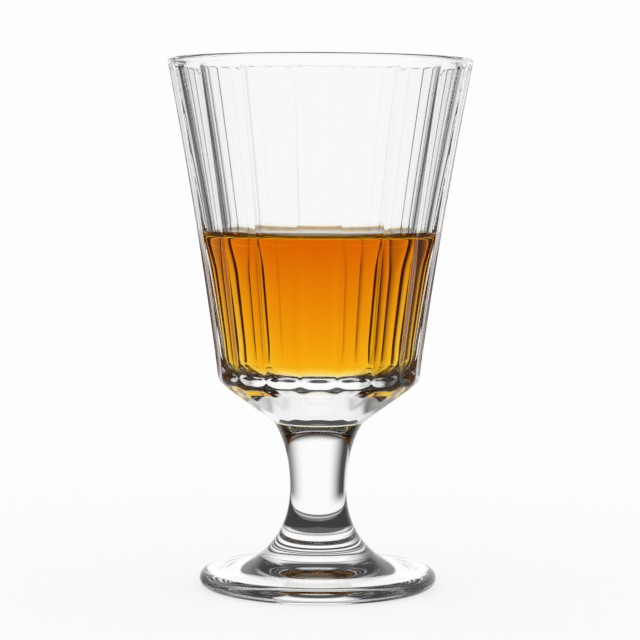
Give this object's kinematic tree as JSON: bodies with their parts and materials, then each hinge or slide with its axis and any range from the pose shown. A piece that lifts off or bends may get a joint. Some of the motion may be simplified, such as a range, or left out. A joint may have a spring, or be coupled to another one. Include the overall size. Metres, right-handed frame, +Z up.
{
  "type": "goblet",
  "caption": "Stemmed drinking glass of clear pressed glass, with a fluted flaring bowl on a panelled cone, a waisted stem and a round foot, partly filled with an amber drink.",
  "frame": {"origin": "centre of the foot's base, on the surface that the glass stands on", "axes": "+Z up along the axis of the glass; one flute of the bowl faces -Y"},
  "size_m": [0.084, 0.084, 0.1458],
  "materials": {
    "clear_glass": "clear colourless soda-lime glass, fire polished",
    "amber_drink": "clear amber liquid, still, with a level surface"
  },
  "bodies": {
    "root": {"bowl": "clear_glass", "stem": "clear_glass", "foot": "clear_glass", "drink": "amber_drink"}
  },
  "joints": []
}
